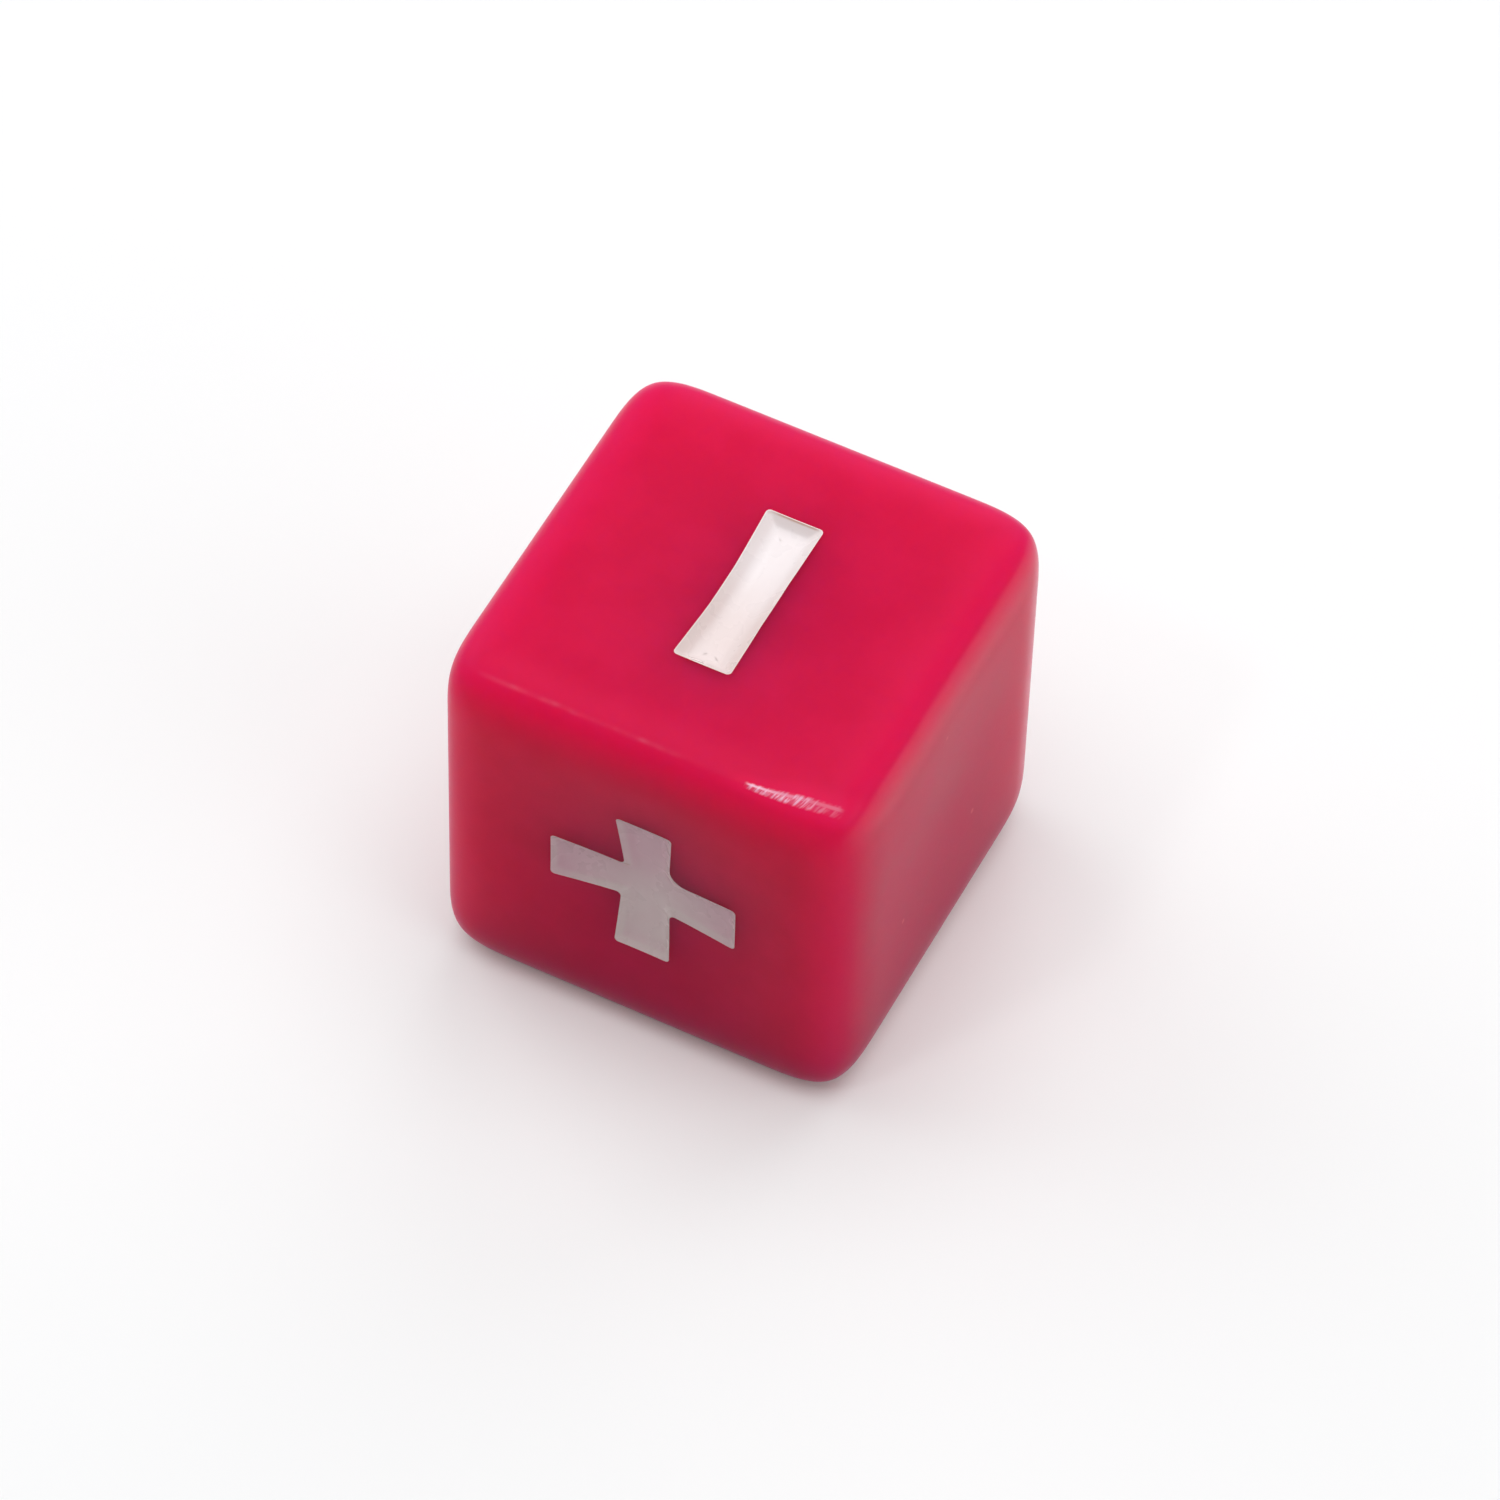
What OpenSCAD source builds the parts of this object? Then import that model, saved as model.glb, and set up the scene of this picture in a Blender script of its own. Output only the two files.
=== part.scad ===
// Fudge die: a solid moulded plastic cube with two plus faces, two minus faces and two blank faces.
// Each symbol is a recess with leaning walls, lined with a thin coat of paint.
// The origin is the middle of the underside, with +Z up. The plus faces look to -Y and +Y,
// the blank faces to -X and +X, and the minus faces up and down.

/* [Body] */
// Width of the die across opposite faces
die_size = 16; // [12:0.5:25]
// Radius that tumbling leaves on the edges and corners
edge_r = 1.95; // [0.8:0.05:2.5]
// How far the middle of each face sinks as the thick plastic cools
dish_depth = 0.42; // [0.1:0.02:0.6]
// Flat land between the sunk middle of a face and its rounded edge
land_w = 0.55; // [0.3:0.05:1]

/* [Symbols] */
// Length of a bar along the deepest part of its recess
bar_len = 6.45; // [4:0.05:7.5]
// Width of a bar across the deepest part of its recess
bar_w = 1.5; // [0.8:0.05:1.8]
// Depth of the recess floor below the sunk face
recess_depth = 0.45; // [0.3:0.05:0.9]
// Lean of the recess walls from upright, in degrees
wall_lean = 30; // [5:1:45]
// Corner radius around the recess floor
floor_corner_r = 0.2; // [0.1:0.02:0.3]
// Corner radius around the mouth of the recess
mouth_corner_r = 0.4; // [0.2:0.05:0.7]

/* [Paint] */
// Thickness of the paint on the floor and walls of a recess
paint_t = 0.08; // [0.04:0.01:0.14]

/* [Hidden] */

// Fineness of the round shapes
$fa = 2;
$fs = 0.1;
dish_ball_sides = 256;

// Colours of the plastic and of the paint
plastic_red = [0.76, 0.08, 0.22];
paint_white = [0.94, 0.92, 0.92];

// Straight stretch between the rounded edges
flat_w = die_size - 2 * edge_r;

// Mouth of the dish in a face, and the radius of the ball that would press it
dish_r = flat_w / 2 - land_w;
dish_ball_r = (dish_r * dish_r + dish_depth * dish_depth) / (2 * dish_depth);

// Deepest point of a recess below the land
recess_low = dish_depth + recess_depth;
// A recess is cut this far past the land, so that its mouth is clean
past_land = 0.25;
// Thickness of the outlines between which a recess is drawn
outline_t = 0.01;

// Turn that brings the top of the die to a side, in degrees about X and Y
function side_turn(side) =
    side == "bottom" ? [180, 0, 0] :
    side == "front" ? [90, 0, 0] :
    side == "back" ? [-90, 0, 0] :
    side == "right" ? [0, 90, 0] :
    side == "left" ? [0, -90, 0] :
    [0, 0, 0];

// Places children on one side of the die, with Z out of the face and zero on the flat land
module on_side(side) {
    translate([0, 0, die_size / 2])
        rotate(side_turn(side))
            translate([0, 0, die_size / 2])
                children();
}

// Quarter round that fills the channel along one edge
module quarter_round() {
    intersection() {
        circle(edge_r);
        square(edge_r);
    }
}

// Cube with rounded edges and corners: crossing blocks, quarter rounds between them, balls at the corners
module rounded_cube() {
    translate([0, 0, die_size / 2]) {
        for (side = ["top", "front", "right"]) {
            rotate(side_turn(side)) {
                cube([flat_w, flat_w, die_size], center = true);
                for (quarter = [0:90:270])
                    rotate(quarter)
                        translate([flat_w / 2, flat_w / 2, -flat_w / 2])
                            linear_extrude(flat_w) quarter_round();
            }
        }
        for (side = ["top", "bottom"], quarter = [0:90:270])
            rotate(side_turn(side))
                rotate(quarter)
                    translate([1, 1, 1] * flat_w / 2)
                        rotate_extrude(angle = 90) quarter_round();
    }
}

// Ball that presses the sunk middle into a face, or reaches some way below it
module dish_ball(below = 0) {
    translate([0, 0, dish_ball_r - dish_depth])
        sphere(dish_ball_r + below, $fn = dish_ball_sides);
}

// Outline of a bar with rounded corners, at a height above the deepest point of its recess
module bar_outline(height, inset, corner_r) {
    grow = height * tan(wall_lean) - inset;
    translate([0, 0, height - recess_low])
        linear_extrude(outline_t)
            offset(corner_r)
                square([bar_w, bar_len] + 2 * (grow - corner_r) * [1, 1], center = true);
}

// Sunk bar with leaning walls and a floor that follows the sunk face, drawn in by a coat of paint
module sunk_bar(coat) {
    inset = coat / cos(wall_lean);
    intersection() {
        hull() {
            bar_outline(0, inset, floor_corner_r);
            bar_outline(recess_low + past_land, inset, mouth_corner_r);
        }
        dish_ball(recess_depth - coat);
    }
}

// Recess of the minus, a single bar
module minus_recess(coat = 0) {
    sunk_bar(coat);
}

// Recess of the plus, two bars across each other
module plus_recess(coat = 0) {
    for (quarter = [0, 90])
        rotate(quarter)
            sunk_bar(coat);
}

// Keeps the part of a recess that lies inside the die, below the land and the dish
module trim_to_face() {
    difference() {
        children();
        dish_ball();
        translate([-die_size / 2, -die_size / 2, 0])
            cube([die_size, die_size, 2 * past_land]);
    }
}

// Coat of paint over the floor and walls of a minus
module minus_paint() {
    color(paint_white)
        trim_to_face()
            difference() {
                minus_recess();
                minus_recess(paint_t);
            }
}

// Coat of paint over the floor and walls of a plus
module plus_paint() {
    color(paint_white)
        trim_to_face()
            difference() {
                plus_recess();
                plus_recess(paint_t);
            }
}

// Moulded body: rounded cube with sunk faces and four symbol recesses
module die_body() {
    color(plastic_red)
        difference() {
            rounded_cube();
            for (side = ["top", "bottom", "front", "back", "right", "left"])
                on_side(side) dish_ball();
            for (side = ["top", "bottom"])
                on_side(side) minus_recess();
            for (side = ["front", "back"])
                on_side(side) plus_recess();
        }
}

module top_minus_paint() {
    on_side("top") minus_paint();
}

module bottom_minus_paint() {
    on_side("bottom") minus_paint();
}

module front_plus_paint() {
    on_side("front") plus_paint();
}

module back_plus_paint() {
    on_side("back") plus_paint();
}

die_body();
top_minus_paint();
bottom_minus_paint();
front_plus_paint();
back_plus_paint();
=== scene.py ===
# %% [markdown]
# # A fudge die, modelled by hand
#
# A fudge die is a moulded plastic cube with a plus on two of its faces, a minus on two more and nothing
# on the last two. This lesson rebuilds one in small steps: first the camera and the light, then the
# tumbled cube, then the sunk signs and the paint in them, and last the finishes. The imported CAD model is
# loaded as a fixed frame, and it says where everything sits and how big it is.

# %% Load the frame and note its box
import math

import bmesh
import bpy
from mathutils import Matrix, Vector


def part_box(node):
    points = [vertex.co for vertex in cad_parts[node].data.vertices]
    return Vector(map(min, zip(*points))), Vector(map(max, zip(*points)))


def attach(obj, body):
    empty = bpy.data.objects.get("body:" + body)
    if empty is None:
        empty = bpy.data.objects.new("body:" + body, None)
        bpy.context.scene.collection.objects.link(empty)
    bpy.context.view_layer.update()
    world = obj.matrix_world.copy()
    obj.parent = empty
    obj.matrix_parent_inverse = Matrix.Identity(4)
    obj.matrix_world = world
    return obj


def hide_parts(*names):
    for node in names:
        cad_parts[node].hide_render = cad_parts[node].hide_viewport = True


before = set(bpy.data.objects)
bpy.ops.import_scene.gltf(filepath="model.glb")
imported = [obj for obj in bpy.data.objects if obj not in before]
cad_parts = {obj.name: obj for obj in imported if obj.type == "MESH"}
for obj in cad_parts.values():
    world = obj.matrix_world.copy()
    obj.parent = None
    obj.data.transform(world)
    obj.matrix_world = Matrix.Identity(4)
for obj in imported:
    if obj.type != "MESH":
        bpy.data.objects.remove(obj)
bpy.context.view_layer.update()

# %% [markdown]
# ## Camera
#
# The camera stands about 0.3 m from the die, above it and in front of it, and looks down with a long
# lens, so the edges of the cube hardly converge. An aim, a distance and two angles are easier to read
# than a place and three rotations, and the small lean is what a camera held by hand picks up.

# %% Place the camera
MM = 0.001
SENSOR_WIDTH = 36
LENS = 199.93
CLIP_START = 10 * MM
CAMERA_AIM = Vector((0.6146, -0.5964, 8.0)) * MM
CAMERA_DISTANCE = 288.234 * MM
CAMERA_HEIGHT_ANGLE = math.radians(52.0228)
CAMERA_TURN = math.radians(25.4261)
CAMERA_LEAN = math.radians(1.9136)

camera_data = bpy.data.cameras.new("camera")
camera_data.sensor_width = SENSOR_WIDTH
camera_data.lens = LENS
camera_data.clip_start = CLIP_START
camera = bpy.data.objects.new("camera", camera_data)
bpy.context.scene.collection.objects.link(camera)
camera_axes = (
    Matrix.Rotation(CAMERA_TURN, 4, "Z")
    @ Matrix.Rotation(math.pi / 2 - CAMERA_HEIGHT_ANGLE, 4, "X")
    @ Matrix.Rotation(CAMERA_LEAN, 4, "Z")
)
camera_place = CAMERA_AIM + camera_axes @ Vector((0, 0, CAMERA_DISTANCE))
camera.matrix_world = Matrix.Translation(camera_place) @ camera_axes
bpy.context.scene.camera = camera
print("Camera at", [round(v / MM, 1) for v in camera_place], "mm")

# %% [markdown]
# ## Helpers for finishes
#
# A finish is a tree of shader nodes. By hand, each node is added from a menu, its values are typed in and
# its sockets are joined with the mouse. In a script that would be four or five lines for each node, so a
# few helpers do it in one, and the lines that follow read like the recipe of the finish.

# %% Make the helpers
def new_finish(name):
    """A new material, with its node tree and its shader."""
    finish = bpy.data.materials.new(name)
    finish.use_nodes = True
    return finish, finish.node_tree, finish.node_tree.nodes["Principled BSDF"]


def feed(tree, node, inputs):
    """Give each input of a node a plain value, or link it to the output of another node."""
    for name, value in inputs.items():
        if isinstance(value, bpy.types.NodeSocket):
            tree.links.new(value, node.inputs[name])
        else:
            node.inputs[name].default_value = value


def add_node(tree, kind, inputs=None, **settings):
    """A new node with these settings and inputs."""
    node = tree.nodes.new("ShaderNode" + kind)
    for name, value in settings.items():
        setattr(node, name, value)
    feed(tree, node, inputs or {})
    return node


def reckon(tree, operation, *values):
    """The result of one Math node."""
    return add_node(tree, "Math", dict(enumerate(values)), operation=operation).outputs[0]


def chain(tree, operation, result, *others):
    """The same Math operation with one value after another."""
    for other in others:
        result = reckon(tree, operation, result, other)
    return result


def blend(tree, share, first, second):
    """A colour between two others."""
    colours = {"Factor": share, "A": first, "B": second}
    return add_node(tree, "Mix", colours, data_type="RGBA").outputs["Result"]


print("Made the helpers for finishes")

# %% [markdown]
# ## Floor
#
# The die lies on a white sheet that looks almost pure white. Paper as bright as that would throw too much
# light up at the sides of the die, so the finish asks what kind of ray has met it. One that sees the
# sheet, directly or in something glossy, meets white paper with a small share of glow. One that only
# carries light meets a greyer paper. The shadow stays, because most of the brightness is the lamps' own.

# %% Mix the paper
WHITE = (1, 1, 1, 1)
PAPER_SEEN = (0.95, 0.955, 0.96, 1)
PAPER_BOUNCE = (0.66, 0.66, 0.66, 1)
PAPER_GLOW = 0.12
PAPER_ROUGH = 0.95

sheet_paper, paper, paper_shader = new_finish("sheet_paper")
rays = add_node(paper, "LightPath").outputs
seen = chain(
    paper, "MAXIMUM", rays["Is Camera Ray"], rays["Is Glossy Ray"], rays["Is Transmission Ray"]
)
tone = blend(paper, seen, PAPER_BOUNCE, PAPER_SEEN)
feed(paper, paper_shader, {"Base Color": tone, "Roughness": PAPER_ROUGH, "Specular IOR Level": 0.0})
glow = add_node(paper, "Emission", {"Color": WHITE})
glow_share = reckon(paper, "MULTIPLY", seen, PAPER_GLOW)
layers = {0: glow_share, 1: paper_shader.outputs[0], 2: glow.outputs[0]}
lit_paper = add_node(paper, "MixShader", layers)
feed(paper, paper.nodes["Material Output"], {"Surface": lit_paper.outputs[0]})
print("Paper has", len(paper.nodes), "nodes")

# %% Lay the sheet
SHEET_SIZE = 3.0

bpy.ops.object.select_all(action="DESELECT")
bpy.ops.mesh.primitive_plane_add(size=SHEET_SIZE, location=(0, 0, 0))
sheet = bpy.context.object
sheet.name = "white_sheet"
sheet.data.materials.append(sheet_paper)
print("Sheet of", SHEET_SIZE, "m under the die")

# %% [markdown]
# ## Light
#
# One broad lamp overhead lights the top of the die. Three weaker ones, nearly as broad, lean in from the
# left, the right and the back. With so much soft light the shadow is only a slight darkening around the
# foot of the die. A small lamp in front makes the glint on the near edge, and the world adds a little
# fill.

# %% Hang the lamps
LAMP_DISTANCE = 0.5
LAMP_AIM = Vector((0, 0, 8 * MM))
# For each lamp: the way to it from the die, its width in metres and its power in watts
LAMPS = {
    "overhead_lamp": [(0.0, 0.0, 1.0), 0.55, 1.71],
    "left_lamp": [(-0.8, 0.1, 0.6), 0.5, 0.76],
    "right_lamp": [(0.8, 0.0, 0.6), 0.5, 0.58],
    "back_lamp": [(0.0, 0.8, 0.6), 0.5, 0.71],
    "glint_lamp": [(-0.26, -0.50, 0.83), 0.06, 0.13],
}
FILL_STRENGTH = 0.072


def hang_lamp(name, place, width, power):
    """A round lamp that shines at the die."""
    lamp_data = bpy.data.lights.new(name, "AREA")
    lamp_data.shape = "DISK"
    lamp_data.size = width
    lamp_data.energy = power
    lamp = bpy.data.objects.new(name, lamp_data)
    bpy.context.scene.collection.objects.link(lamp)
    lamp.location = place
    lamp.rotation_euler = (LAMP_AIM - place).to_track_quat("-Z", "Y").to_euler()


for name, (way, width, power) in LAMPS.items():
    hang_lamp(name, Vector(way).normalized() * LAMP_DISTANCE, width, power)
world = bpy.data.worlds.new("studio")
bpy.context.scene.world = world
world.use_nodes = True
sky = world.node_tree.nodes["Background"]
feed(world.node_tree, sky, {"Strength": FILL_STRENGTH, "Color": WHITE})
bpy.context.scene.view_settings.view_transform = "Standard"
print(len(LAMPS), "lamps and a fill of", FILL_STRENGTH)

# %% [markdown]
# ## The tumbled cube
#
# The real cube is moulded with sharp edges and then tumbled with grit, which wears the edges and corners
# round, a little more at the corners. A subdivision surface over a cube cut in five each way does just
# that: it cuts across the edges of its cage by a share of one cell, and by a bit more at the corners.
# Blender's tools are tuned for things of a metre, so the pieces are modelled with one unit for a
# millimetre and are shrunk when they are finished.

# %% Cut the cube in cells and round it
low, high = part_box("die_body")
DIE_WIDTH = (high[0] - low[0]) / MM
HALF = DIE_WIDTH / 2
CELLS = 5
ROUND_LEVELS = 4


def pick_only(piece):
    """Leave one object selected and active."""
    bpy.ops.object.select_all(action="DESELECT")
    piece.select_set(True)
    bpy.context.view_layer.objects.active = piece


def apply_modifier(piece, kind, **settings):
    """Add a modifier with these settings and apply it at once."""
    pick_only(piece)
    modifier = piece.modifiers.new(kind.lower(), kind)
    for name, value in settings.items():
        setattr(modifier, name, value)
    bpy.ops.object.modifier_apply(modifier=modifier.name)


bpy.ops.object.select_all(action="DESELECT")
bpy.ops.mesh.primitive_cube_add(size=DIE_WIDTH, location=(0, 0, HALF))
body = bpy.context.object
body.name = "tumbled_body"
bpy.ops.object.transform_apply(location=True, rotation=False, scale=False)
bpy.ops.object.mode_set(mode="EDIT")
bpy.ops.mesh.select_all(action="SELECT")
bpy.ops.mesh.subdivide(number_cuts=CELLS - 1)
bpy.ops.object.mode_set(mode="OBJECT")
apply_modifier(body, "SUBSURF", levels=ROUND_LEVELS, render_levels=ROUND_LEVELS)
print("Rounded body has", len(body.data.polygons), "faces")

# %% [markdown]
# ## The signs
#
# Each sign is a sunk bar, or two across each other, with walls that lean out so that the mould lets go.
# It is drawn as two flat outlines, one on the floor and one just above the face, that a bridge joins into
# a solid. That solid is used twice: to cut the recess, and to fill it with a coat of paint. An outline
# starts as a small square whose edges are extruded into arms, a little wider at their ends, and its
# corners are rounded by a bevel.

# %% Measure the signs
# Lengths in millimetres, and the reach of an arm is taken from the middle of its sign
MINUS = {"arms": {(0, 1): 3.57, (0, -1): 3.56}, "half": 1.00, "flare": 0.09, "depth": 0.48}
PLUS = {
    "arms": {(1, 0): 3.55, (-1, 0): 3.55, (0, 1): 3.51, (0, -1): 3.40},
    "half": 0.905,
    "flare": 0.16,
    "depth": 0.30,
}

for name, sign in (("Minus", MINUS), ("Plus", PLUS)):
    print(name, "has", len(sign["arms"]), "arms", round(2 * sign["half"], 2), "mm wide")

# %% Draw an outline
CORNER = 0.16
CORNER_STEPS = 6
STRAIGHT = math.radians(0.5)
TOUCH = 0.001


def select_where(piece, kind, test):
    """In edit mode, select just the verts or edges whose middle passes the test."""
    bpy.ops.mesh.select_mode(type=kind)
    bpy.ops.mesh.select_all(action="DESELECT")
    shape = bmesh.from_edit_mesh(piece.data)
    for part in {"VERT": shape.verts, "EDGE": shape.edges}[kind]:
        corners = [part.co] if kind == "VERT" else [v.co for v in part.verts]
        part.select_set(test(sum(corners, Vector()) / len(corners)))
    shape.select_flush_mode()
    bmesh.update_edit_mesh(piece.data)


def flat_sign(sign, inner, side_grow, end_grow, height):
    """A flat bar or plus as one face, grown at its sides and ends, at a height above the face."""
    half = sign["half"] + side_grow
    flare = (half + sign["flare"]) / half
    arms = [(Vector((*way, 0)), reach + end_grow) for way, reach in sign["arms"].items()]
    lift = Vector((0, 0, height))
    bpy.ops.object.select_all(action="DESELECT")
    bpy.ops.mesh.primitive_plane_add(size=2 * half, location=lift)
    outline = bpy.context.object
    bpy.ops.object.transform_apply(location=True, rotation=False, scale=False)
    bpy.ops.object.mode_set(mode="EDIT")
    for way, reach in arms:
        side, end = way * half + lift, way * reach + lift
        select_where(outline, "EDGE", lambda place: (place - side).length < TOUCH)
        bpy.ops.mesh.extrude_edges_move(TRANSFORM_OT_translate={"value": end - side})
        bpy.ops.transform.resize(value=(flare, flare, 1), center_override=end)
    bpy.ops.mesh.select_all(action="SELECT")
    bpy.ops.mesh.dissolve_limited(angle_limit=STRAIGHT)
    ends = [(way, reach - TOUCH) for way, reach in arms]
    select_where(outline, "VERT", lambda place: any(place.dot(way) > end for way, end in ends))
    bpy.ops.mesh.bevel(affect="VERTICES", offset=CORNER, segments=CORNER_STEPS)
    for (side_x, side_y), (radius, nudge) in inner.items():
        corner = Vector((side_x * half, side_y * half, height))
        select_where(outline, "VERT", lambda place: (place - corner).length < TOUCH)
        bpy.ops.transform.translate(value=(*nudge, 0))
        bpy.ops.mesh.bevel(affect="VERTICES", offset=radius, segments=CORNER_STEPS)
    bpy.ops.object.mode_set(mode="OBJECT")
    return outline


print("Corners are rounded by", CORNER, "mm in", CORNER_STEPS, "steps")

# %% [markdown]
# ### From outline to solid
#
# The coated solid is smaller than the bare one by the thickness of the paint, and its edge along the
# floor is bevelled, because wet paint runs down the walls and pools there. Slices both ways give the
# flat floor enough points to bend with its face later on. They are set off from the grid of the cube,
# because two cuts in one place leave slivers.

# %% Bridge two outlines into a solid
PAST_FACE = 0.1
SIDE_LEAN = math.tan(math.radians(52))
END_LEAN = math.tan(math.radians(46))
FLOOR_COAT = 0.08
WALL_COAT = 0.03
POOL_EDGE = 0.25
POOL_STEPS = 6
SLICE_WIDTH = 0.25
SLICE_OFFSET = 0.3
SLICES_EACH_WAY = 15


def join_up(pieces):
    """Make one object of several, and keep the first one's name and place."""
    pick_only(pieces[0])
    for piece in pieces:
        piece.select_set(True)
    bpy.ops.object.join()
    return pieces[0]


def slice_up():
    """In edit mode, cut a sign into thin slices both ways."""
    for way in (Vector((1, 0, 0)), Vector((0, 1, 0))):
        for step in range(-SLICES_EACH_WAY, SLICES_EACH_WAY):
            bpy.ops.mesh.select_all(action="SELECT")
            bpy.ops.mesh.bisect(plane_co=way * (step + SLICE_OFFSET) * SLICE_WIDTH, plane_no=way)


def sunk_sign(name, sign, inner, coated):
    """The solid that fills a sign, or what is left open of it once it is coated with paint."""
    depth = sign["depth"] - FLOOR_COAT * coated
    outlines = []
    for height in (-depth, PAST_FACE):
        side_grow = height * SIDE_LEAN - WALL_COAT * coated
        end_grow = height * END_LEAN - WALL_COAT * coated
        outlines.append(flat_sign(sign, inner, side_grow, end_grow, height))
    solid = join_up(outlines)
    solid.name = name
    bpy.ops.object.mode_set(mode="EDIT")
    bpy.ops.mesh.select_all(action="SELECT")
    bpy.ops.mesh.delete(type="ONLY_FACE")
    bpy.ops.mesh.select_all(action="SELECT")
    bpy.ops.mesh.bridge_edge_loops()
    for height in (-depth, PAST_FACE):
        select_where(solid, "VERT", lambda place: abs(place.z - height) < TOUCH)
        bpy.ops.mesh.edge_face_add()
    if coated:
        select_where(solid, "EDGE", lambda place: abs(place.z + depth) < TOUCH)
        bpy.ops.mesh.bevel(affect="EDGES", offset=POOL_EDGE, segments=POOL_STEPS)
    slice_up()
    bpy.ops.mesh.select_all(action="SELECT")
    bpy.ops.mesh.normals_make_consistent(inside=False)
    bpy.ops.object.mode_set(mode="OBJECT")
    return solid


print("Signs are", MINUS["depth"], "and", PLUS["depth"], "mm deep, with", FLOOR_COAT, "mm of paint")

# %% [markdown]
# ## Recesses and paint
#
# No two signs of a real die sit quite alike, so each is shifted a little from the middle of its face. The
# plus on the front also has inner corners that differ: the mould is worn on its upper right, so that one
# is well rounded, while the others are sharper and nudged off their places. The coat of paint is what is
# left when the filled sign is trimmed to the die's own surface and the coated one is taken out of it.

# %% Set out the signs
# For each inner corner of the worn plus: its radius, and how far it is nudged
WORN_INNER = {
    (1, 1): (0.7, (0, 0)),
    (1, -1): (0.25, (0.05, 0)),
    (-1, 1): (0.22, (0.12, 0)),
    (-1, -1): (0.22, (0, 0.12)),
}
EVEN_INNER = {corner: (CORNER, (0, 0)) for corner in WORN_INNER}
# For each sign: its CAD node, its shape, its inner corners, and its shift on its face
SIGNS = [
    ("top_minus_paint", MINUS, {}, (0.11, -0.045)),
    ("bottom_minus_paint", MINUS, {}, (-0.06, 0.035)),
    ("front_plus_paint", PLUS, WORN_INNER, (0.16, 0.015)),
    ("back_plus_paint", PLUS, EVEN_INNER, (0.04, -0.07)),
]
# The turn that brings the top of the die to each face
TURNS = {
    "top": Matrix.Identity(4),
    "bottom": Matrix.Rotation(math.pi, 4, "X"),
    "front": Matrix.Rotation(math.pi / 2, 4, "X"),
    "back": Matrix.Rotation(-math.pi / 2, 4, "X"),
    "right": Matrix.Rotation(math.pi / 2, 4, "Y"),
    "left": Matrix.Rotation(-math.pi / 2, 4, "Y"),
}
MIDDLE = Matrix.Translation((0, 0, HALF))
print(len(SIGNS), "signs on", len(TURNS), "faces")

# %% Cut the recesses and line them
def copy_of(piece, name):
    """A copy of a piece with its own mesh."""
    twin = piece.copy()
    twin.data = piece.data.copy()
    twin.name = name
    bpy.context.scene.collection.objects.link(twin)
    return twin


def throw_away(piece):
    """Remove a helper that has done its work."""
    bpy.data.objects.remove(piece, do_unlink=True)


def mark_rim(coat, to_face, floor):
    """Note on each point of a coat how near the rim it is: 0 on the floor, 1 at the face."""
    back = to_face.inverted()
    nearness = [1 + (back @ point.co).z / floor for point in coat.data.vertices]
    rim = coat.data.attributes.new("rim_nearness", "FLOAT", "POINT")
    rim.data.foreach_set("value", nearness)


plain_body = copy_of(body, "plain_body")
coats = {}
for node, sign, inner, shift in SIGNS:
    face = node.split("_")[0]
    to_face = MIDDLE @ TURNS[face] @ MIDDLE
    filled = sunk_sign("filled_" + node, sign, inner, False)
    hollow = sunk_sign("hollow_" + node, sign, inner, True)
    for solid in (filled, hollow):
        solid.data.transform(to_face @ Matrix.Translation((*shift, 0)))
    apply_modifier(body, "BOOLEAN", operation="DIFFERENCE", object=filled, solver="EXACT")
    coat = copy_of(filled, node + "_coat")
    apply_modifier(coat, "BOOLEAN", operation="INTERSECT", object=plain_body, solver="EXACT")
    apply_modifier(coat, "BOOLEAN", operation="DIFFERENCE", object=hollow, solver="EXACT")
    mark_rim(coat, to_face, sign["depth"] - FLOOR_COAT)
    coats[node] = coat
    throw_away(filled)
    throw_away(hollow)
    print(coat.name, "has", len(coat.data.polygons), "faces")
throw_away(plain_body)

# %% [markdown]
# ## Sunk faces
#
# Thick plastic shrinks as it cools, and pulls the middle of each face in by some tenths of a millimetre,
# less on the two blank faces. The signs sink with it. A Warp modifier moves everything near one empty
# towards another, with a soft falloff, so the same pull is given to the body and to each coat, and they
# stay together.

# %% Pull the middle of each face in
SIGN_SINK, BLANK_SINK = 0.40, 0.15
SINK_RADIUS = 7.0


def pull_in(pieces, turn, sink):
    """Sink the middle of one face, in all these pieces alike."""
    pulls = []
    for height in (HALF, HALF - sink):
        bpy.ops.object.select_all(action="DESELECT")
        bpy.ops.object.empty_add(location=MIDDLE @ turn @ Vector((0, 0, height)))
        pulls.append(bpy.context.object)
    for piece in pieces:
        apply_modifier(
            piece,
            "WARP",
            object_from=pulls[0],
            object_to=pulls[1],
            falloff_type="SMOOTH",
            falloff_radius=SINK_RADIUS,
        )
    for pull in pulls:
        throw_away(pull)


for face, turn in TURNS.items():
    lining = [coat for node, coat in coats.items() if node.startswith(face)]
    sink = SIGN_SINK if lining else BLANK_SINK
    pull_in([body, *lining], turn, sink)
    print("Sank the", face, "face by", sink, "mm, with", len(lining), "coats on it")

# %% [markdown]
# ## Back to metres
#
# The five pieces are done, so they are shrunk to their real size, and the scale is applied, because a
# finish measures on the mesh itself. Shading by angle makes the rounded body look smooth and keeps the
# edges of the recesses crisp.

# %% Shrink the pieces and smooth them
SMOOTH_ANGLE = math.radians(30)

for piece in (body, *coats.values()):
    pick_only(piece)
    piece.scale = (MM, MM, MM)
    bpy.ops.object.transform_apply(location=False, rotation=False, scale=True)
    bpy.ops.object.shade_smooth_by_angle(angle=SMOOTH_ANGLE)
    print(piece.name, "is", [round(v / MM, 2) for v in piece.dimensions], "mm")

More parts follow.
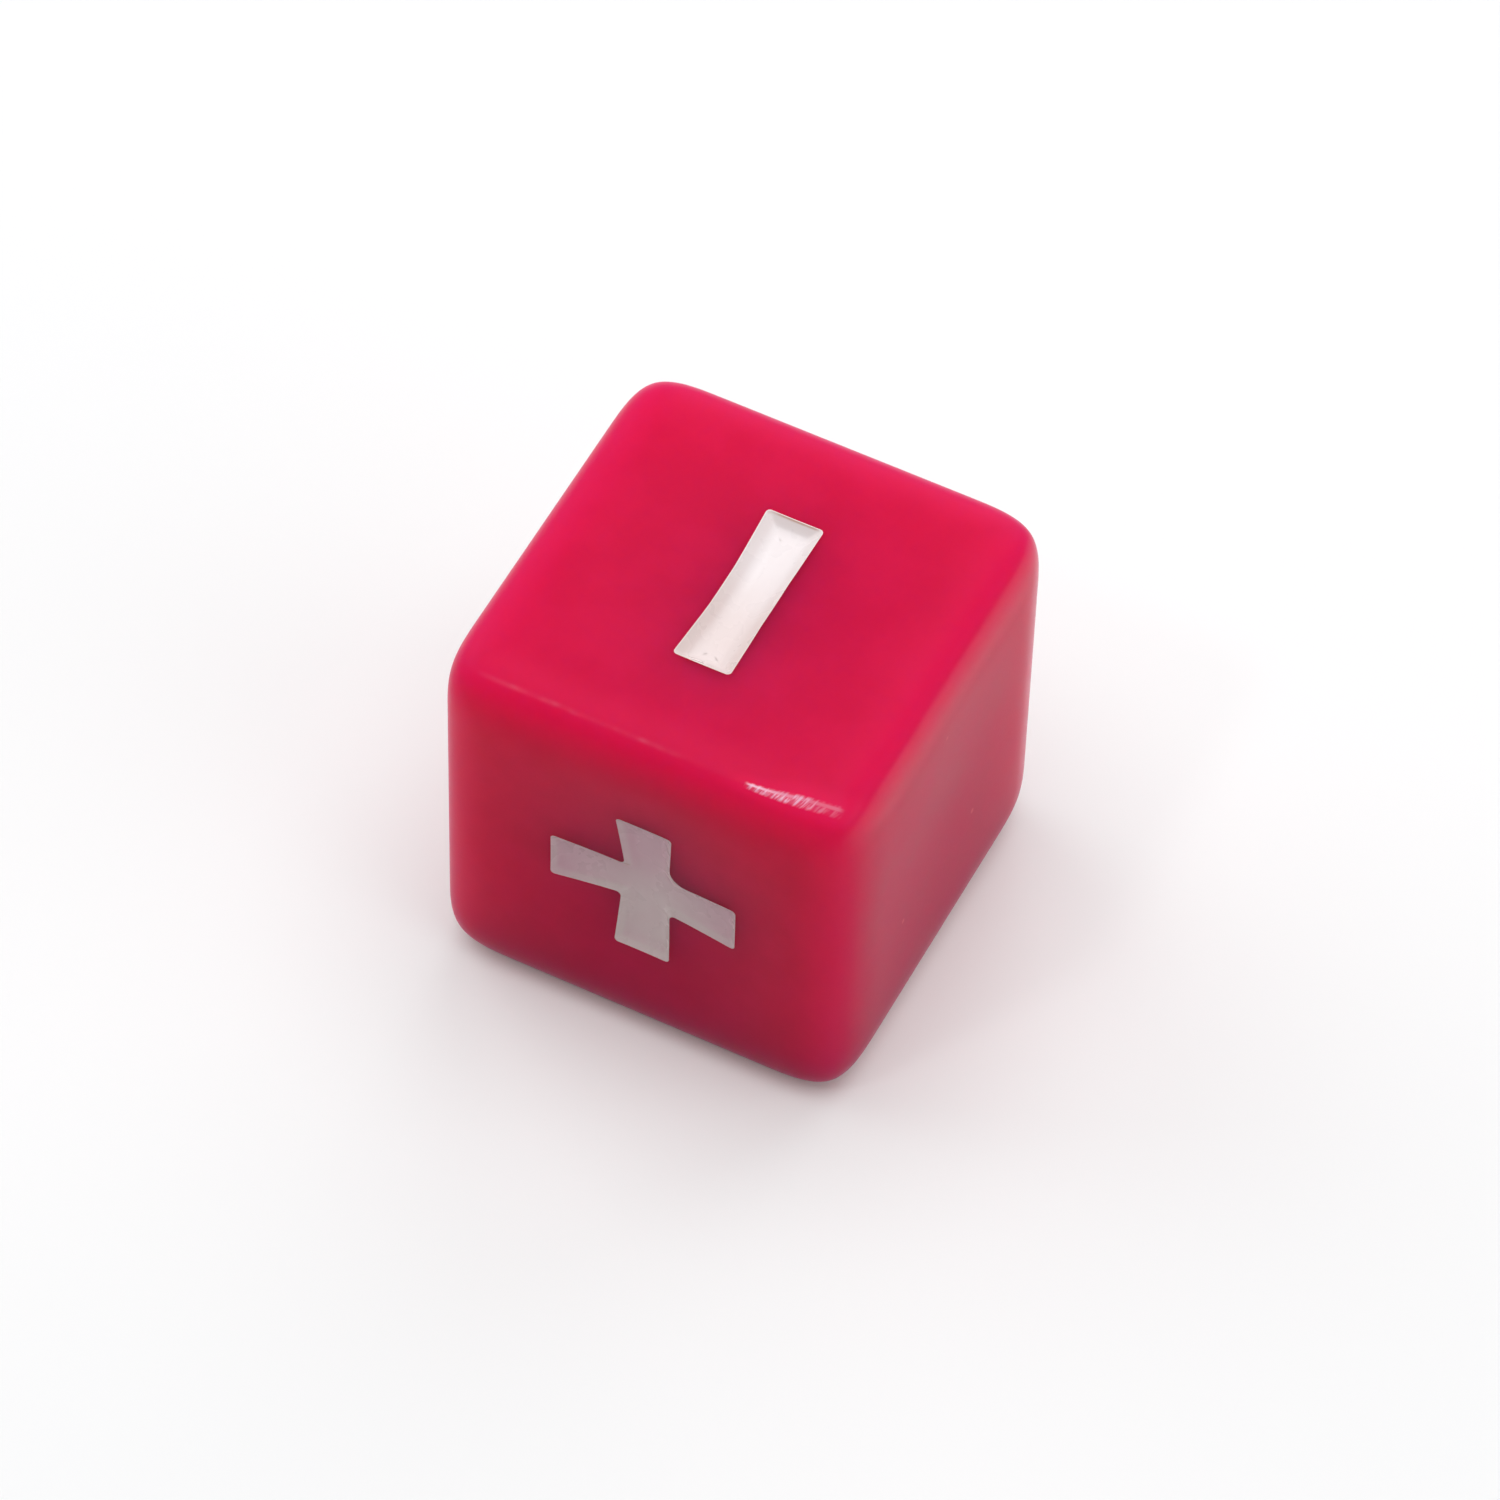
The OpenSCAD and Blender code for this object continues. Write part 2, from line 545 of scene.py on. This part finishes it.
# %% [markdown]
# ## Marks of handling
#
# A die that has been rolled for years is never one clean colour. Its plastic is faintly cloudy, and here
# and there a pale speck is ground into it. The same marks are on the paint, so they are made once, as a
# node group that measures in millimetres on the piece itself, and each finish takes as much of them as it
# shows. A noise gives the clouds. The specks are the middles of a few cells of a Voronoi texture.

# %% Build the handling marks
CLOUD_DETAIL = 3.0
SPECK_SPACING = 1.6
SPECK_EDGE, SPECK_CORE = 0.09, 0.036
SPECK_RARITY = 0.86


def ramp(tree, value, start, end, low=0.0, high=1.0):
    """A soft rise from low to high as the value goes from start to end."""
    limits = {"Value": value, "From Min": start, "From Max": end, "To Min": low, "To Max": high}
    return add_node(tree, "MapRange", limits, interpolation_type="SMOOTHSTEP").outputs["Result"]


def noise(tree, place, scale, detail):
    """A soft noise."""
    return add_node(tree, "TexNoise", {"Vector": place, "Scale": scale, "Detail": detail}).outputs[0]


def place_in_mm(tree):
    """The place on the piece, in millimetres."""
    place = add_node(tree, "TexCoord").outputs["Object"]
    return add_node(tree, "VectorMath", {0: place, "Scale": 1 / MM}, operation="SCALE").outputs[0]


def new_group(name, takes, gives):
    """An empty node group that takes and gives these sockets, with its two ends."""
    group = bpy.data.node_groups.new(name, "ShaderNodeTree")
    for socket, kind in takes.items():
        group.interface.new_socket(socket, in_out="INPUT", socket_type="NodeSocket" + kind)
    for socket, kind in gives.items():
        group.interface.new_socket(socket, in_out="OUTPUT", socket_type="NodeSocket" + kind)
    return group, group.nodes.new("NodeGroupInput").outputs, group.nodes.new("NodeGroupOutput")


handling, taken, given = new_group(
    "handling_marks", {"Cloud Size": "Float"}, {"Clouds": "Float", "Specks": "Float"}
)
place = place_in_mm(handling)
clouds = noise(handling, place, reckon(handling, "DIVIDE", 1.0, taken["Cloud Size"]), CLOUD_DETAIL)
cells = add_node(handling, "TexVoronoi", {"Vector": place, "Scale": 1 / SPECK_SPACING}).outputs
chance = add_node(handling, "SeparateColor", {0: cells["Color"]}).outputs[0]
rare = reckon(handling, "GREATER_THAN", chance, SPECK_RARITY)
near = ramp(handling, cells["Distance"], SPECK_EDGE, SPECK_CORE)
specks = reckon(handling, "MULTIPLY", near, rare)
feed(handling, given, {"Clouds": clouds, "Specks": specks})
print("Handling marks have", len(handling.nodes), "nodes")

# %% [markdown]
# ## Crimson plastic
#
# The plastic lets a good deal of light in, so its edges glow and its lower half darkens softly. That is
# subsurface scattering with a long reach for red and a short one for the rest. Its gloss is weak, because
# tumbling leaves a satin skin, and the edges are rubbed a little smoother than the faces. The edges are
# also painted a paler, brighter red, a painted glow on top of what the light gives. A place is on an edge
# when it is far from the middle in two directions at once, so the second largest of its three distances
# tells how near an edge it is.

# %% Start the plastic and find its edges
PLASTIC = {
    "Specular IOR Level": 0.045,
    "Sheen Weight": 0.09,
    "Sheen Roughness": 0.4,
    "Sheen Tint": (0.75, 0.8, 1.0, 1),
    "Coat Roughness": 0.17,
    "Subsurface Weight": 1.0,
    "Subsurface Radius": (1.0, 0.3, 0.3),
    "Subsurface Scale": 16.0 * MM,
}
EDGE_START, EDGE_FULL = 5.6, 8.0


def vector_math(tree, operation, *values):
    """The outputs of one Vector Math node."""
    return add_node(tree, "VectorMath", dict(enumerate(values)), operation=operation).outputs


plastic, crimson, plastic_shader = new_finish("crimson_plastic")
feed(crimson, plastic_shader, PLASTIC)
place = place_in_mm(crimson)
from_middle = vector_math(crimson, "SUBTRACT", place, (0, 0, HALF))["Vector"]
away = vector_math(crimson, "ABSOLUTE", from_middle)["Vector"]
distances = list(add_node(crimson, "SeparateXYZ", {0: away}).outputs)
most = chain(crimson, "MAXIMUM", *distances)
least = chain(crimson, "MINIMUM", *distances)
second = chain(crimson, "SUBTRACT", chain(crimson, "ADD", *distances), most, least)
edge = ramp(crimson, second, EDGE_START, EDGE_FULL)
print("Edges start", EDGE_START, "mm from the middle")

# %% [markdown]
# ### The polished edges
#
# Hands have polished the right side along its upper and back edges, which mirror the white sheet more
# than the rest does. A thin clear coat gives that, and its weight grows towards these two edges only.

# %% Polish two edges of the right side
POLISH = 0.40
POLISH_START, POLISH_FULL = 5.4, 7.0
RIGHT_START, RIGHT_FULL = 7.2, 7.7

side_x, side_y, side_z = add_node(crimson, "SeparateXYZ", {0: from_middle}).outputs
on_right = ramp(crimson, side_x, RIGHT_START, RIGHT_FULL)
up_or_back = reckon(crimson, "MAXIMUM", side_y, side_z)
polish_line = ramp(crimson, up_or_back, POLISH_START, POLISH_FULL, 0.0, POLISH)
polish = reckon(crimson, "MULTIPLY", polish_line, on_right)
print("Polish starts", POLISH_START, "mm from the middle of the right side")

# %% [markdown]
# ### The scuff and its painted highlight on the front edge
#
# Near its right corner the upper front edge is scuffed: a narrow patch of short pale strokes lies across
# it, thin at its left end and wider at its right. The pale pink of the strokes is scratch wear and a
# painted highlight together, where a lamp's glint falls on the edge, and the plastic around the patch is
# painted a brighter, warmer red as painted glow. Two soft limits, along the edge and across it, give the
# patch its wedge shape. A noise that is stretched across the edge gives the strokes, and a painted
# highlight line runs along the upper side of the patch.

# %% Lay out the patch and its painted glow
SCUFF_MIDDLE, SCUFF_HALF = 5.37, 1.77
SCUFF_END = SCUFF_HALF - 0.25
SCUFF_LEFT_DROP, SCUFF_RIGHT_DROP = -0.26, -0.65
SCUFF_THIN, SCUFF_WIDE, WIDE_FROM = 0.19, 0.33, 0.5
UPPER_START, UPPER_FULL = 6.0, 6.8
# Distances across the patch, in half widths of it
PATCH_LIMIT, PATCH_FULL, PAINTED_GLOW_LIMIT = 1.1, 0.5, 3.5
PAINTED_GLOW_HALF, PAINTED_GLOW_END = SCUFF_HALF + 1.2, SCUFF_HALF - 0.4
PAINTED_GLOW_SHARE = 0.45

along = reckon(crimson, "SUBTRACT", side_x, SCUFF_MIDDLE)
from_scuff_middle = reckon(crimson, "ABSOLUTE", along)
front_over_top = reckon(crimson, "ADD", side_y, side_z)
drop = ramp(crimson, along, -SCUFF_HALF, SCUFF_HALF, SCUFF_LEFT_DROP, SCUFF_RIGHT_DROP)
across = reckon(crimson, "SUBTRACT", reckon(crimson, "MULTIPLY", front_over_top, -1.0), drop)
half_width = ramp(crimson, along, -SCUFF_HALF, WIDE_FROM, SCUFF_THIN, SCUFF_WIDE)
across_share = reckon(crimson, "DIVIDE", across, half_width)
from_line = reckon(crimson, "ABSOLUTE", across_share)
upper = ramp(crimson, side_z, UPPER_START, UPPER_FULL)
in_width = ramp(crimson, from_line, PATCH_LIMIT, PATCH_FULL)
in_length = ramp(crimson, from_scuff_middle, SCUFF_HALF, SCUFF_END)
patch = chain(crimson, "MULTIPLY", in_width, in_length, upper)
# The glow around the patch is painted light: a brighter, warmer red where the edge near the corner is lit.
painted_glow_width = ramp(crimson, from_line, PAINTED_GLOW_LIMIT, PATCH_FULL, 0.0, PAINTED_GLOW_SHARE)
painted_glow_length = ramp(crimson, from_scuff_middle, PAINTED_GLOW_HALF, PAINTED_GLOW_END)
painted_glow = chain(crimson, "MULTIPLY", painted_glow_width, painted_glow_length, upper)
print("Scuff is", 2 * SCUFF_HALF, "mm long")

# %% Draw the strokes
STROKE_SPACING, STROKE_LENGTH, STROKE_SLANT = 0.13, 0.9, 0.35
STROKE_DETAIL = 2.0
STROKE_DARK, STROKE_BRIGHT, STROKE_FAINTEST = 0.42, 0.64, 0.14
FADE_START, FADE_END, FADED = 0.1, 1.4, 0.25
RIM_SHIFT, RIM_LIMIT, RIM_FULL = 0.4, 0.45, 0.1
RIM_LEFT_SHARE, RIM_RIGHT_SHARE, RIM_RIGHT = 0.85, 0.3, 1.2

slanted = reckon(crimson, "MULTIPLY_ADD", across, STROKE_SLANT, along)
stroke_x = reckon(crimson, "DIVIDE", slanted, STROKE_SPACING)
stroke_y = reckon(crimson, "DIVIDE", across, STROKE_LENGTH)
stroke_place = add_node(crimson, "CombineXYZ", {0: stroke_x, 1: stroke_y}).outputs[0]
stroke_noise = noise(crimson, stroke_place, 1.0, STROKE_DETAIL)
stroke_share = ramp(crimson, stroke_noise, STROKE_DARK, STROKE_BRIGHT, STROKE_FAINTEST, 1.0)
fade = ramp(crimson, along, FADE_START, FADE_END, 1.0, FADED)
strokes = reckon(crimson, "MULTIPLY", stroke_share, fade)
from_rim = reckon(crimson, "ABSOLUTE", reckon(crimson, "ADD", across_share, RIM_SHIFT))
# The line along the upper side of the patch is a painted highlight.
highlight_line_share = ramp(crimson, along, -SCUFF_HALF, RIM_RIGHT, RIM_LEFT_SHARE, RIM_RIGHT_SHARE)
highlight_line = ramp(crimson, from_rim, RIM_LIMIT, RIM_FULL, 0.0, highlight_line_share)
strokes_and_highlight_line = reckon(crimson, "MULTIPLY", patch, reckon(crimson, "MAXIMUM", strokes, highlight_line))
print("Strokes are", STROKE_SPACING, "mm apart")

# %% [markdown]
# ### The painted highlight line
#
# Further left the same edge carries only a painted highlight: a thin, faint and broken pale line along its
# upper side, where the lamp's glint runs. It is a soft stripe that fades at both ends, and a coarse noise
# breaks it up.

# %% Paint a highlight line along the edge
HIGHLIGHT_MIDDLE, HIGHLIGHT_HALF, HIGHLIGHT_END = -2.6, 4.4, 2.4
HIGHLIGHT_HALF_WIDTH, HIGHLIGHT_HEIGHT = 0.22, 0.32
HIGHLIGHT_BREAKS, HIGHLIGHT_DETAIL = 0.9, 1.0
HIGHLIGHT_GAP, HIGHLIGHT_WHOLE = 0.40, 0.65
HIGHLIGHT_FAINTEST, HIGHLIGHT_STRONGEST = 0.01, 0.09

edge_highlight_across = reckon(crimson, "ABSOLUTE", reckon(crimson, "SUBTRACT", front_over_top, HIGHLIGHT_HEIGHT))
edge_highlight_along = reckon(crimson, "ABSOLUTE", reckon(crimson, "SUBTRACT", side_x, HIGHLIGHT_MIDDLE))
edge_highlight_width = ramp(crimson, edge_highlight_across, HIGHLIGHT_HALF_WIDTH, 0.0)
edge_highlight_length = ramp(crimson, edge_highlight_along, HIGHLIGHT_HALF, HIGHLIGHT_END)
edge_highlight_breaks = noise(crimson, from_middle, 1 / HIGHLIGHT_BREAKS, HIGHLIGHT_DETAIL)
edge_highlight_share = ramp(crimson, edge_highlight_breaks, HIGHLIGHT_GAP, HIGHLIGHT_WHOLE, HIGHLIGHT_FAINTEST, HIGHLIGHT_STRONGEST)
# The pale line is a painted highlight along the edge.
painted_edge_highlight = chain(crimson, "MULTIPLY", edge_highlight_width, edge_highlight_length, edge_highlight_share, upper)
scuff_and_highlight = reckon(crimson, "MAXIMUM", strokes_and_highlight_line, painted_edge_highlight)
print("Rubbed line is", 2 * HIGHLIGHT_HALF, "mm long")

# %% [markdown]
# ### All of it together
#
# The colour is built up in layers: clouds in the plastic, edges painted paler as a painted glow, specks,
# the painted glow around the scuff, and on top the scuff, pale as wear and painted highlight together. The
# clouds also vary the gloss a little, the scuff and the polish set the weight of the clear coat, and a
# fine grain with the strokes in it makes the satin relief.

# %% Put the plastic together
PLASTIC_DEEP = (0.59, 0.006, 0.062, 1)
PLASTIC_LIGHT = (0.62, 0.007, 0.068, 1)
# The edge red is a painted glow: it makes the edges paler and brighter than the light alone does.
PAINTED_EDGE_GLOW = (0.78, 0.010, 0.088, 1)
SPECK_PALE = (0.85, 0.12, 0.16, 1)
SCUFF_GLOW_RED = (1.0, 0.015, 0.11, 1)
# The scuff pink is scratch wear and a painted highlight together, where a lamp's glint falls on the edge.
SCUFF_AND_HIGHLIGHT_PINK = (1.0, 0.40, 0.56, 1)
CLOUD_SIZE, CLOUD_DEEP, CLOUD_LIGHT = 2.2, 0.35, 0.65
SPECK_SHARE = 0.5
FACE_ROUGH, EDGE_ROUGH, CLOUD_ROUGH = 0.32, 0.28, 0.10
GRAIN_SIZE, GRAIN_DETAIL = 0.10, 2.0
SCUFF_RELIEF = 2.0
SATIN_STRENGTH, SATIN_DEPTH = 0.25, 0.012 * MM

marks = add_node(crimson, "Group", {"Cloud Size": CLOUD_SIZE}, node_tree=handling).outputs
cloudy = ramp(crimson, marks["Clouds"], CLOUD_DEEP, CLOUD_LIGHT)
speck_share = reckon(crimson, "MULTIPLY", marks["Specks"], SPECK_SHARE)
face_red = blend(crimson, cloudy, PLASTIC_DEEP, PLASTIC_LIGHT)
red_with_edge_glow = blend(crimson, edge, face_red, PAINTED_EDGE_GLOW)
specked_red = blend(crimson, speck_share, red_with_edge_glow, SPECK_PALE)
red_with_scuff_glow = blend(crimson, painted_glow, specked_red, SCUFF_GLOW_RED)
red_with_scuff_and_highlight = blend(crimson, scuff_and_highlight, red_with_scuff_glow, SCUFF_AND_HIGHLIGHT_PINK)
least_rough = FACE_ROUGH - CLOUD_ROUGH / 2
face_gloss = reckon(crimson, "MULTIPLY_ADD", marks["Clouds"], CLOUD_ROUGH, least_rough)
gloss = ramp(crimson, edge, 0.0, 1.0, face_gloss, EDGE_ROUGH)
clear_coat = reckon(crimson, "MAXIMUM", scuff_and_highlight, polish)
grain = noise(crimson, place, 1 / GRAIN_SIZE, GRAIN_DETAIL)
height = reckon(crimson, "ADD", grain, reckon(crimson, "MULTIPLY", scuff_and_highlight, SCUFF_RELIEF))
relief = {"Strength": SATIN_STRENGTH, "Distance": SATIN_DEPTH, "Height": height}
satin = add_node(crimson, "Bump", relief).outputs["Normal"]
skin = {"Base Color": red_with_scuff_and_highlight, "Roughness": gloss, "Coat Weight": clear_coat, "Normal": satin}
feed(crimson, plastic_shader, skin)
print("Crimson plastic has", len(crimson.nodes), "nodes")

# %% [markdown]
# ## Sign paint
#
# Both signs are painted white, but not alike. The minus is thick and clean and still glossy. The plus is
# thinner, so the red shows through it, and its colours are also darkened as painted shade, which makes it
# a dull mauve grey. On both, the paint has pooled in one place and thins out away from it; on the minus
# that pool is also brightened as a painted highlight. On the minus the walls get thinner, pinker paint
# that is also darkened as painted shade, and on the plus the walls are painted lighter, as painted light.
# Each coat carries the nearness of its rim as an attribute, and one group turns that and the distance from
# the pool into colour, gloss and height.

# %% Build the coat
COAT_CLOUD_SIZE = 1.1
COAT_CLOUD_LOW, COAT_CLOUD_HIGH, COAT_CLOUD_SHARE = 0.3, 0.7, 0.05
POOL_FULL, POOL_GONE = 0.5, 4.2
WALL_START, WALL_FULL = 0.15, 0.6

coating, taken, given = new_group(
    "sign_coat",
    {
        "Thick": "Color",
        "Thin": "Color",
        "Shade And Grime": "Color",
        "Shaded Side": "Vector",
        "Shade Start": "Float",
        "Pool And Highlight Middle": "Vector",
        "Pool Plane": "Vector",
        "Pool Thinness": "Float",
        "Arm Thinness": "Float",
        "Wall Thinness And Shading": "Float",
    },
    {"Colour": "Color", "Roughness": "Float", "Height": "Float"},
)
rim = add_node(coating, "Attribute", attribute_name="rim_nearness").outputs["Fac"]
coat_marks = add_node(coating, "Group", {"Cloud Size": COAT_CLOUD_SIZE}, node_tree=handling).outputs
coat_clouds = coat_marks["Clouds"]
# The pool middle is where the paint is thickest and brightest; on the minus it is also a painted
# highlight.
from_pool = vector_math(coating, "SUBTRACT", place_in_mm(coating), taken["Pool And Highlight Middle"])["Vector"]
in_plane = vector_math(coating, "MULTIPLY", from_pool, taken["Pool Plane"])["Vector"]
pool_distance = vector_math(coating, "LENGTH", in_plane)["Value"]
floor_share = ramp(
    coating, pool_distance, POOL_FULL, POOL_GONE, taken["Pool Thinness"], taken["Arm Thinness"]
)
# On the walls a positive value thins and darkens the paint, partly as painted shade, and a negative value
# paints the walls lighter, as painted light.
on_wall = ramp(coating, rim, WALL_START, WALL_FULL)
wall_thinness_and_shading = reckon(coating, "MULTIPLY", on_wall, taken["Wall Thinness And Shading"])
cloud_share = ramp(
    coating, coat_clouds, COAT_CLOUD_LOW, COAT_CLOUD_HIGH, -COAT_CLOUD_SHARE, COAT_CLOUD_SHARE
)
thin = chain(coating, "ADD", floor_share, wall_thinness_and_shading, cloud_share)
thin_kept = add_node(coating, "Clamp", {"Value": thin}).outputs[0]
coat_colour = blend(coating, thin_kept, taken["Thick"], taken["Thin"])
print("Paint thins out", POOL_GONE, "mm from the pool")

# %% [markdown]
# ### Painted shade along the rim
#
# Along the rim the coat is darkened as painted shade, mostly on the walls that face one way, away from the
# light. So the shade is limited by the nearness of the rim and by the side that the surface faces, and the
# clouds break it up. Dark specks in the paint take the same colour, as grime.

# %% Shade the coat along its rim
SHADE_RISE = 0.15
FACING_START, FACING_FULL = 0.15, 0.45
SHADE_GAP, SHADE_DENSE = 0.4, 0.62
SHADE_FAINTEST, SHADE_STRONGEST = 0.1, 0.75
SPECK_GRIME = 0.35
COAT_SMOOTH, COAT_ROUGH = 0.24, 0.32

normal = add_node(coating, "NewGeometry").outputs["Normal"]
# Painted shade: the coat darkens near the rim on the walls that face the given side.
facing = vector_math(coating, "DOT_PRODUCT", normal, taken["Shaded Side"])["Value"]
on_side = ramp(coating, facing, FACING_START, FACING_FULL)
rim_shade_full = reckon(coating, "ADD", taken["Shade Start"], SHADE_RISE)
near_rim = ramp(coating, rim, taken["Shade Start"], rim_shade_full)
shade_patches = ramp(coating, coat_clouds, SHADE_GAP, SHADE_DENSE, SHADE_FAINTEST, SHADE_STRONGEST)
rim_shade = chain(coating, "MULTIPLY", near_rim, on_side, shade_patches)
dark_specks = reckon(coating, "MULTIPLY", coat_marks["Specks"], SPECK_GRIME)
shade_and_specks = reckon(coating, "MAXIMUM", rim_shade, dark_specks)
shaded_colour = blend(coating, shade_and_specks, coat_colour, taken["Shade And Grime"])
coat_gloss = ramp(coating, coat_clouds, COAT_CLOUD_LOW, COAT_CLOUD_HIGH, COAT_SMOOTH, COAT_ROUGH)
feed(coating, given, {"Colour": shaded_colour, "Roughness": coat_gloss, "Height": coat_clouds})
print("Sign coat has", len(coating.nodes), "nodes")

# %% [markdown]
# ### Two paints from one coat
#
# The clean paint of the minus and the worn, shaded paint of the plus differ only in the values that the
# group is given, so each is a short recipe. The shader itself stays in the material, with a slight brushed
# relief.

# %% Mix the two paints
PAINTS = {
    "clean_sign_paint": {
        # The minus paint: its far end is brightened as a painted highlight, and its walls are darkened
        # partly as painted shade.
        "Thick": (0.91, 0.835, 0.845, 1),
        "Thin": (0.78, 0.645, 0.625, 1),
        "Shade And Grime": (0.55, 0.27, 0.16, 1),
        "Shaded Side": (0, -1, 0),
        "Shade Start": 0.82,
        "Pool And Highlight Middle": (0, 2.5, 0),
        "Pool Plane": (1, 1, 0),
        "Pool Thinness": 0.0,
        "Arm Thinness": 0.70,
        "Wall Thinness And Shading": 0.25,
    },
    "worn_shaded_sign_paint": {
        # The plus paint is darker than the minus paint partly as painted shade, and its walls are painted
        # lighter as painted light.
        "Thick": (0.76, 0.62, 0.615, 1),
        "Thin": (0.70, 0.395, 0.48, 1),
        "Shade And Grime": (0.45, 0.22, 0.18, 1),
        "Shaded Side": (0, 0, -1),
        "Shade Start": 0.30,
        "Pool And Highlight Middle": (0.5, 0, 6.3),
        "Pool Plane": (1, 0, 1),
        "Pool Thinness": 0.10,
        "Arm Thinness": 0.85,
        "Wall Thinness And Shading": -0.40,
    },
}
BRUSH_STRENGTH, BRUSH_DEPTH = 0.3, 0.02 * MM


def mix_paint(name, recipe):
    """One of the two paints, from the shared coat."""
    paint, tree, shader = new_finish(name)
    coat = add_node(tree, "Group", recipe, node_tree=coating).outputs
    relief = {"Strength": BRUSH_STRENGTH, "Distance": BRUSH_DEPTH, "Height": coat["Height"]}
    brushed = add_node(tree, "Bump", relief).outputs["Normal"]
    skin = {"Base Color": coat["Colour"], "Roughness": coat["Roughness"], "Normal": brushed}
    feed(tree, shader, skin)
    return paint


paints = {name: mix_paint(name, recipe) for name, recipe in PAINTS.items()}
print("Mixed", list(paints))

# %% [markdown]
# ## Into the frame
#
# Each piece takes its finish, rides on a body of the CAD model and replaces the CAD node that it stands
# for. Nothing on a die moves, so one body carries all five pieces.

# %% Fit the pieces to the frame
body.data.materials.clear()
body.data.materials.append(plastic)
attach(body, "root")
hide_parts("die_body")
for node, coat in coats.items():
    coat.data.materials.clear()
    paint = "clean_sign_paint" if "minus" in node else "worn_shaded_sign_paint"
    coat.data.materials.append(paints[paint])
    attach(coat, "root")
    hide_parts(node)
print("Fitted the body and", len(coats), "coats")
